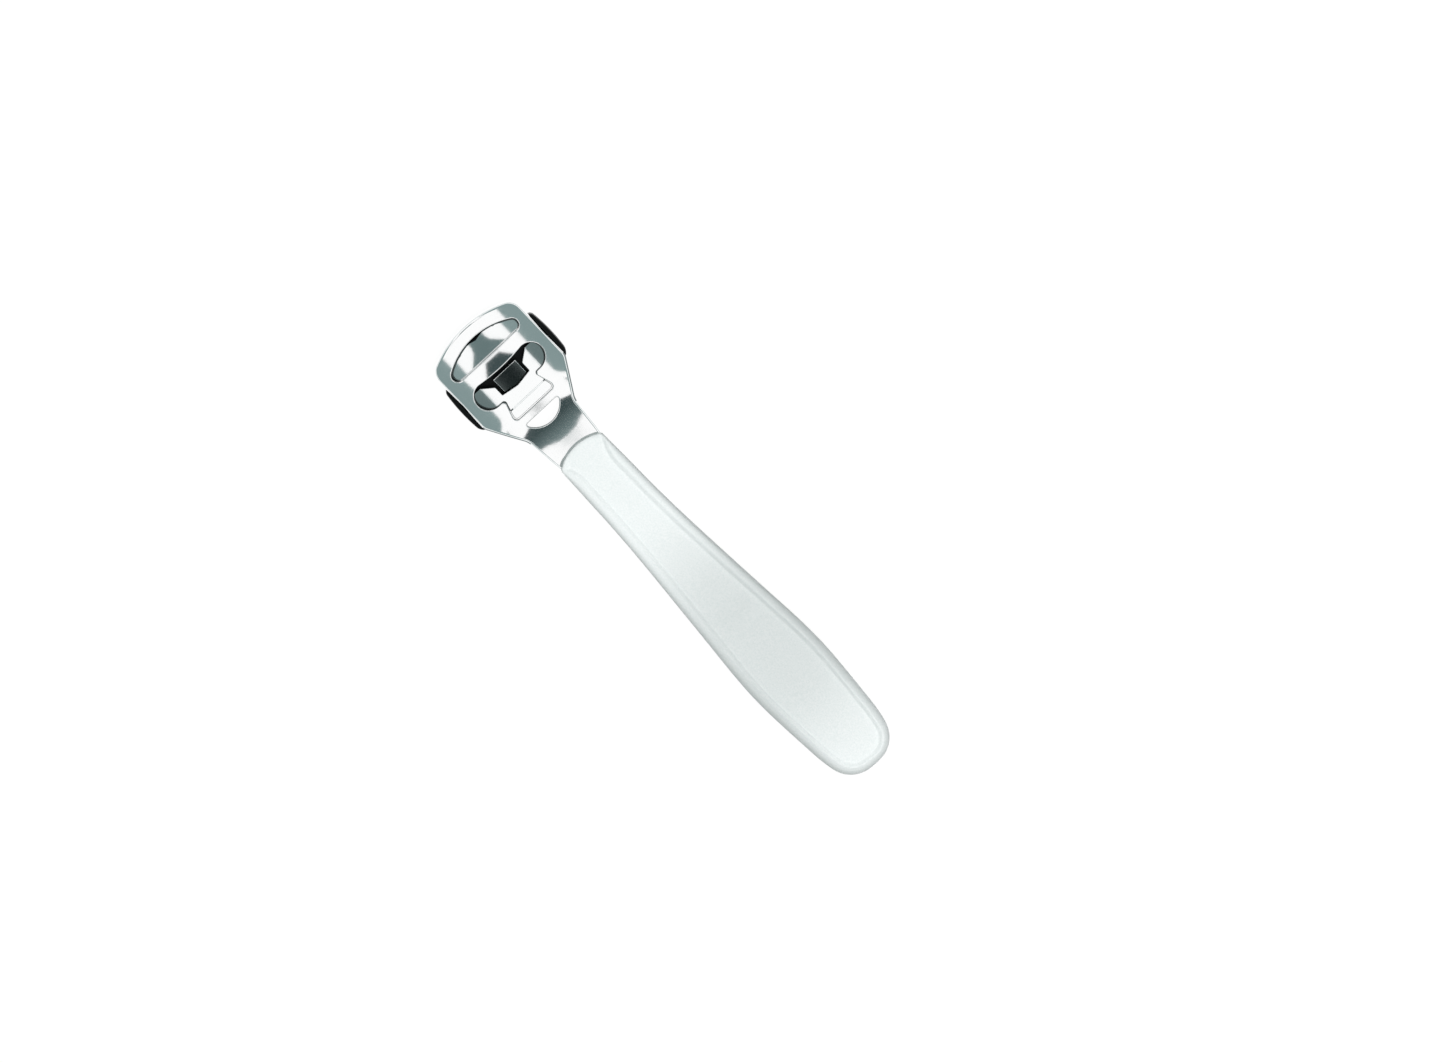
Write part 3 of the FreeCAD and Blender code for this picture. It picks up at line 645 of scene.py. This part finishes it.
def handle_outline(spacing):
    corner_s, corner_y = SIDE_POINTS[0]
    behind = corner_s + 1.5
    arch = corner_s - MOUTH_LIP
    radius = (corner_y ** 2 + arch ** 2) / (2 * arch)
    angle = math.asin(corner_y / radius)
    mouth = arc_points((MOUTH_LIP + radius, 0), radius, math.pi, math.pi - angle + 1.2 / radius)
    mouth = mouth[:-1] + rounded([mouth[-1], (corner_s, corner_y, MOUTH_CORNER_ROUND),
                                  (behind, corner_y + 0.01)])
    butt = butt_half()
    side = spline_through(list(SIDE_POINTS) + [butt[0]], 0.01, -math.tan(BUTT_TAPER))
    return closed(mouth + [p for p in side if p[0] > behind] + butt, spacing)


def handle_arch(s):
    """The level of the handle's top along its middle."""
    rise = np.where(s < CREST, MOUTH_FALL / (CREST - MOUTH_LIP) ** 2,
                    BUTT_FALL / (HANDLE_END - CREST) ** 2)
    return CREST_LEVEL - rise * (s - CREST) ** 2


def rim_width(s, y):
    """How wide the handle's rim is: wider on one side, and pinched out at the mouth."""
    right = smoothstep(-8, 8, y)
    share = np.clip((s - PINCH_START - 2 * right) / (PINCH_LENGTH + right), 0, 1)
    return (RIM_WIDTH - RIM_WIDTH_LOSS * right) * (1 - (1 - share) ** 2) - 0.3


def distance_inside(loop):
    """A function that gives how far points lie within a loop of many short sides."""
    tree = KDTree(len(loop))
    for index, point in enumerate(loop):
        tree.insert((point[0], point[1], 0), index)
    tree.balance()

    def distance(s, y):
        nearest = np.array([tree.find((a, b, 0))[1] for a, b in zip(s, y)])
        points = np.column_stack([s, y])
        best = np.full(len(points), np.inf)
        for first, last in ((nearest - 1, nearest), (nearest, (nearest + 1) % len(loop))):
            start, along = loop[first], loop[last] - loop[first]
            share = np.sum((points - start) * along, axis=1) / np.sum(along ** 2, axis=1)
            foot = start + along * np.clip(share, 0, 1)[:, None]
            best = np.minimum(best, np.linalg.norm(points - foot, axis=1))
        return best
    return distance


def make_handle(materials):
    skin = Skin()
    outer = handle_outline(0.3)
    into = inward(outer)
    distance = distance_inside(handle_outline(0.05))

    def top(s, y):
        past = distance(s, y) - rim_width(s, y)     # beyond the foot of the rim
        panel = PANEL_DEPTH * smoothstep(-PANEL_BLEND, PANEL_BLEND, past)
        groove = GROOVE_DEPTH * np.exp(-((past - GROOVE_PLACE) / GROOVE_WIDTH) ** 2)
        outside = np.clip(-past - RIM_CROWN_START, 0, None)
        chamfer = RIM_CHAMFER * smoothstep(CHAMFER_START, CHAMFER_END, s)
        crown = RIM_CROWN * outside ** 2 + chamfer * outside
        fall = LIP_BOW * y ** 2 * (1 - smoothstep(LIP_BOW_START, LIP_BOW_END, s))
        return handle_arch(s) - panel - groove - crown - fall

    wide = rim_width(outer[:, 0], outer[:, 1])
    behind_lip = smoothstep(LIP_ROUND_START, LIP_ROUND_END, outer[:, 0])
    top_round = LIP_ROUND + (TOP_ROUND - LIP_ROUND) * behind_lip
    upper = rolled_edge(skin, outer, top, 1, top_round, 9)
    lower = rolled_edge(skin, outer, level(0.0), -1, BOTTOM_ROUND, 7)
    for a, b in zip(upper, upper[1:]):
        skin.join(a, b)
    skin.join(lower[0], upper[0])
    for a, b in zip(lower, lower[1:]):
        skin.join(b, a)
    # Lines of points that follow the slope from the rim into the panel
    strips = [(outer + into * (wide + offset)[:, None])[wide + offset > top_round + 0.15]
              for offset in np.arange(-1.0, 1.2, 0.25)]
    fill(skin, [upper[-1]], top, 1, 0.55, extra=np.vstack(strips))
    fill(skin, [lower[-1]], level(0.0), -1, 3.0)
    make_piece("grip", skin, materials, "handle")


# Materials ----------------------------------------------------------------------------

def new_material(name, colour, metallic, roughness):
    material = bpy.data.materials.new(name)
    material.use_nodes = True
    shader = material.node_tree.nodes["Principled BSDF"]
    shader.inputs["Base Color"].default_value = (*colour, 1)
    shader.inputs["Metallic"].default_value = metallic
    shader.inputs["Roughness"].default_value = roughness
    return material, material.node_tree, shader


def noise(tree, scale, detail=3.0):
    """A noise texture fixed to the object; the scale is in features per metre."""
    place = tree.nodes.new("ShaderNodeTexCoord")
    texture = tree.nodes.new("ShaderNodeTexNoise")
    texture.inputs["Scale"].default_value = scale
    texture.inputs["Detail"].default_value = detail
    tree.links.new(place.outputs["Object"], texture.inputs["Vector"])
    return texture.outputs["Fac"]


def spread(tree, value, low, high):
    """A noise value, mostly between 0.3 and 0.7, stretched to run from low to high."""
    node = tree.nodes.new("ShaderNodeMapRange")
    node.inputs["From Min"].default_value = 0.3
    node.inputs["From Max"].default_value = 0.7
    node.inputs["To Min"].default_value = low
    node.inputs["To Max"].default_value = high
    tree.links.new(value, node.inputs["Value"])
    return node.outputs["Result"]


def bump(tree, shader, height, distance, under=None):
    """Bumps of a depth in metres, which may lie over others."""
    node = tree.nodes.new("ShaderNodeBump")
    node.inputs["Distance"].default_value = distance
    node.inputs["Strength"].default_value = 1.0
    tree.links.new(height, node.inputs["Height"])
    if under is not None:
        tree.links.new(under, node.inputs["Normal"])
    tree.links.new(node.outputs["Normal"], shader.inputs["Normal"])
    return node.outputs["Normal"]


def chrome_material(name, colour, roughness, ripple):
    material, tree, shader = new_material(name, colour, 1, roughness)
    tree.links.new(spread(tree, noise(tree, 900), roughness - 0.01, roughness + 0.01),
                   shader.inputs["Roughness"])
    bump(tree, shader, noise(tree, 700, 2.0), ripple)
    return material


def white_material():
    material, tree, shader = new_material("handle white", (0.87, 0.9, 0.895), 0, 0.45)
    tone = tree.nodes.new("ShaderNodeMix")
    tone.data_type = "RGBA"
    tone.inputs["A"].default_value = (0.83, 0.87, 0.865, 1)
    tone.inputs["B"].default_value = (0.92, 0.94, 0.935, 1)
    tree.links.new(spread(tree, noise(tree, 2300, 2.0), 0, 1), tone.inputs["Factor"])
    tree.links.new(tone.outputs["Result"], shader.inputs["Base Color"])
    tree.links.new(spread(tree, noise(tree, 2500), 0.42, 0.52), shader.inputs["Roughness"])
    grain = bump(tree, shader, noise(tree, 2600), 0.00004)
    bump(tree, shader, noise(tree, 260, 2.0), 0.00002, grain)
    shader.inputs["Specular IOR Level"].default_value = 0.4
    return material


def black_material():
    material, tree, shader = new_material("guard black", (0.004, 0.005, 0.005), 0, 0.3)
    tree.links.new(spread(tree, noise(tree, 1800), 0.26, 0.34), shader.inputs["Roughness"])
    bump(tree, shader, noise(tree, 2600), 0.000006)
    shader.inputs["Specular IOR Level"].default_value = 0.08
    return material


def dress(node, material):
    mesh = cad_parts[node].data
    mesh.materials.clear()
    mesh.materials.append(material)


# Studio -------------------------------------------------------------------------------

RAYS = ("camera", "diffuse", "glossy", "transmission", "volume_scatter", "shadow")

# Cards hang over the head, and only polished surfaces see them. Their corners are given as
# the angles, along and across the tool, at which a mirror at the bridge would see them.
CARD_HEIGHT = 0.5
BRIDGE_X = -0.068
ACROSS_SHIFT = 4.0          # the camera's own lean to the right, in degrees


def make_camera():
    data = bpy.data.cameras.new("camera")
    data.sensor_width = 36
    data.lens = PIXELS_PER_METRE * CAMERA_DISTANCE * data.sensor_width / PHOTO_WIDTH
    data.clip_end = 50
    camera = bpy.data.objects.new("camera", data)
    bpy.context.scene.collection.objects.link(camera)
    back = Vector((-math.tan(LEAN_TO_TIP), math.tan(LEAN_TO_RIGHT), 1)).normalized()
    right = Vector((math.cos(TOOL_ANGLE), math.sin(TOOL_ANGLE), 0))
    up = back.cross(right).normalized()
    right = up.cross(back)
    turn = Matrix((right, up, back)).transposed().to_4x4()
    camera.matrix_world = Matrix.Translation(VIEW_CENTRE + back * CAMERA_DISTANCE) @ turn
    bpy.context.scene.camera = camera


def seen_directly(tree):
    """1 for rays from the camera and for rays that mirror or pass through something."""
    path = tree.nodes.new("ShaderNodeLightPath")
    first = tree.nodes.new("ShaderNodeMath")
    first.operation = "MAXIMUM"
    second = tree.nodes.new("ShaderNodeMath")
    second.operation = "MAXIMUM"
    tree.links.new(path.outputs["Is Camera Ray"], first.inputs[0])
    tree.links.new(path.outputs["Is Glossy Ray"], first.inputs[1])
    tree.links.new(first.outputs[0], second.inputs[0])
    tree.links.new(path.outputs["Is Transmission Ray"], second.inputs[1])
    return second.outputs[0]


def show_apart(tree, lighting, shown, output):
    """One shader lights the scene, and the other is what the eye and the chrome see."""
    mix = tree.nodes.new("ShaderNodeMixShader")
    tree.links.new(seen_directly(tree), mix.inputs["Fac"])
    tree.links.new(lighting.outputs[0], mix.inputs[1])
    tree.links.new(shown.outputs[0], mix.inputs[2])
    tree.links.new(mix.outputs[0], tree.nodes[output].inputs["Surface"])


def make_world():
    world = bpy.data.worlds.new("studio")
    world.use_nodes = True
    tree = world.node_tree
    light = tree.nodes["Background"]
    light.inputs["Color"].default_value = (0.86, 1.0, 0.97, 1)
    light.inputs["Strength"].default_value = 0.29
    backdrop = tree.nodes.new("ShaderNodeBackground")
    backdrop.inputs["Color"].default_value = (1, 1, 1, 1)
    backdrop.inputs["Strength"].default_value = 1.0
    show_apart(tree, light, backdrop, "World Output")
    bpy.context.scene.world = world


def stage_mesh(name, points, faces):
    mesh = bpy.data.meshes.new(name)
    mesh.from_pydata(points, [], faces)
    piece = bpy.data.objects.new(name, mesh)
    bpy.context.scene.collection.objects.link(piece)
    return piece


def flat_mesh(name, corners, z):
    return stage_mesh(name, [(x, y, z) for x, y in corners], [tuple(range(len(corners)))])


def rectangle(x, y, half_x, half_y):
    return [(x - half_x, y - half_y), (x + half_x, y - half_y),
            (x + half_x, y + half_y), (x - half_x, y + half_y)]


def stage_material(piece):
    """The nodes of a new material for a piece, still without a shader."""
    material = bpy.data.materials.new(piece.name)
    material.use_nodes = True
    tree = material.node_tree
    tree.nodes.remove(tree.nodes["Principled BSDF"])
    piece.data.materials.append(material)
    return tree


def make_floor():
    floor = flat_mesh("floor", rectangle(0, 0, 3.0, 3.0), -0.0002)
    tree = stage_material(floor)
    matte = tree.nodes.new("ShaderNodeBsdfDiffuse")
    matte.inputs["Color"].default_value = (0.3, 0.31, 0.31, 1)
    shadowed = tree.nodes.new("ShaderNodeBsdfDiffuse")
    shadowed.inputs["Color"].default_value = (0.07, 0.07, 0.07, 1)
    glow = tree.nodes.new("ShaderNodeEmission")
    glow.inputs["Color"].default_value = (1, 1, 1, 1)
    glow.inputs["Strength"].default_value = 0.96
    add = tree.nodes.new("ShaderNodeAddShader")
    tree.links.new(shadowed.outputs[0], add.inputs[0])
    tree.links.new(glow.outputs[0], add.inputs[1])
    show_apart(tree, matte, add, "Material Output")


def seen_only_by(piece, kind):
    for ray in RAYS:
        setattr(piece, "visible_" + ray, ray == kind)


def make_glow(piece, colour, far_colour=None, axis="X", fade_start=0.0):
    """Lets a piece glow for polished surfaces alone; its colour may change along an axis."""
    tree = stage_material(piece)
    glow = tree.nodes.new("ShaderNodeEmission")
    glow.inputs["Color"].default_value = (*colour, 1)
    if far_colour:
        place = tree.nodes.new("ShaderNodeTexCoord")
        parts = tree.nodes.new("ShaderNodeSeparateXYZ")
        share = tree.nodes.new("ShaderNodeMapRange")
        share.inputs["From Min"].default_value = fade_start
        blend = tree.nodes.new("ShaderNodeMix")
        blend.data_type = "RGBA"
        blend.inputs["A"].default_value = (*colour, 1)
        blend.inputs["B"].default_value = (*far_colour, 1)
        tree.links.new(place.outputs["Generated"], parts.inputs[0])
        tree.links.new(parts.outputs[axis], share.inputs["Value"])
        tree.links.new(share.outputs["Result"], blend.inputs["Factor"])
        tree.links.new(blend.outputs["Result"], glow.inputs["Color"])
    tree.links.new(glow.outputs[0], tree.nodes["Material Output"].inputs["Surface"])
    seen_only_by(piece, "glossy")


def make_card(name, corners, *glow):
    spots = [(BRIDGE_X + CARD_HEIGHT * math.tan(math.radians(a)),
              CARD_HEIGHT * math.tan(math.radians(b - ACROSS_SHIFT))) for a, b in corners]
    make_glow(flat_mesh(name, spots, CARD_HEIGHT), *glow)


def mirrored(corners):
    return [(a, -b) for a, b in corners] + corners[::-1]


def make_cards():
    grey = (0.225, 0.30, 0.30)
    make_card("card left", [(-50, -60), (36, -60), (36, -19.2), (-50, -19.2)], grey)
    make_card("card right", [(-50, 19.2), (36, 19.2), (36, 60), (-50, 60)], grey)
    behind = [(13.0, 4.7), (21.8, 11.0), (25.0, 12.8), (26.6, 4.8), (29.0, 2.4), (29.3, 0.5)]
    make_card("card behind", mirrored(behind), (0.046, 0.069, 0.071), (0.17, 0.23, 0.23),
              "X", 0.35)
    ahead = [(-24, 6.0), (-13.5, 6.0), (-9.5, 7.3), (-5.5, 10.4), (-1.4, 13.8), (1.2, 15.2)]
    make_card("card ahead", mirrored(ahead), (0.13, 0.185, 0.185))


def make_surround():
    """A low grey wall all round, which gives polished edges something to show from the side."""
    radius, height, count = 1.2, 0.42, 48
    turns = [2 * math.pi * index / count for index in range(count)]
    points = [(radius * math.cos(a), radius * math.sin(a), z) for z in (0.0, height) for a in turns]
    faces = [(i, (i + 1) % count, count + (i + 1) % count, count + i) for i in range(count)]
    wall = stage_mesh("surround", points, faces)
    make_glow(wall, (0.32, 0.39, 0.39), (0.85, 0.9, 0.9), "Z")


def make_key():
    """A soft disk of light over the tool."""
    data = bpy.data.lights.new("key", "AREA")
    data.shape = "DISK"
    data.size = 0.8
    data.energy = 12.3
    data.color = (1.0, 0.975, 0.985)
    lamp = bpy.data.objects.new("key", data)
    lamp.location = (0.05, 0.12, 1.2)
    lamp.rotation_euler = (-lamp.location).to_track_quat("-Z", "Y").to_euler()
    lamp.visible_glossy = False
    bpy.context.scene.collection.objects.link(lamp)


def make_shade():
    """A small card that takes some of the key light off the middle of the handle."""
    seen_only_by(flat_mesh("shade", rectangle(0.036, 0.01, 0.011, 0.02), 0.1), "shadow")


make_camera()
make_world()
make_floor()
make_cards()
make_surround()
make_key()
make_shade()
# The frame's second and third materials and the clip's last three are chrome darkened with painted
# shade.
make_frame([chrome_material("frame chrome", (0.98, 0.985, 0.985), 0.075, 0.0000004),
            chrome_material("inner painted shade", (0.10, 0.12, 0.12), 0.45, 0.00001),
            chrome_material("rim painted shade", (0.16, 0.19, 0.19), 0.2, 0.000001)])
make_clip([chrome_material("clip chrome", (0.97, 0.98, 0.98), 0.08, 0.000001),
           chrome_material("tongue painted shade", (0.1, 0.115, 0.115), 0.16, 0.000002),
           chrome_material("recess painted shade", (0.014, 0.017, 0.018), 0.3, 0.000002),
           chrome_material("clip side painted shade", (0.58, 0.59, 0.59), 0.08, 0.000001)])
make_blade([chrome_material("blade steel", (0.8, 0.81, 0.81), 0.2, 0.000002)])
make_handle([white_material()])
dress("back_guard", black_material())
bpy.context.scene.view_settings.view_transform = "Standard"
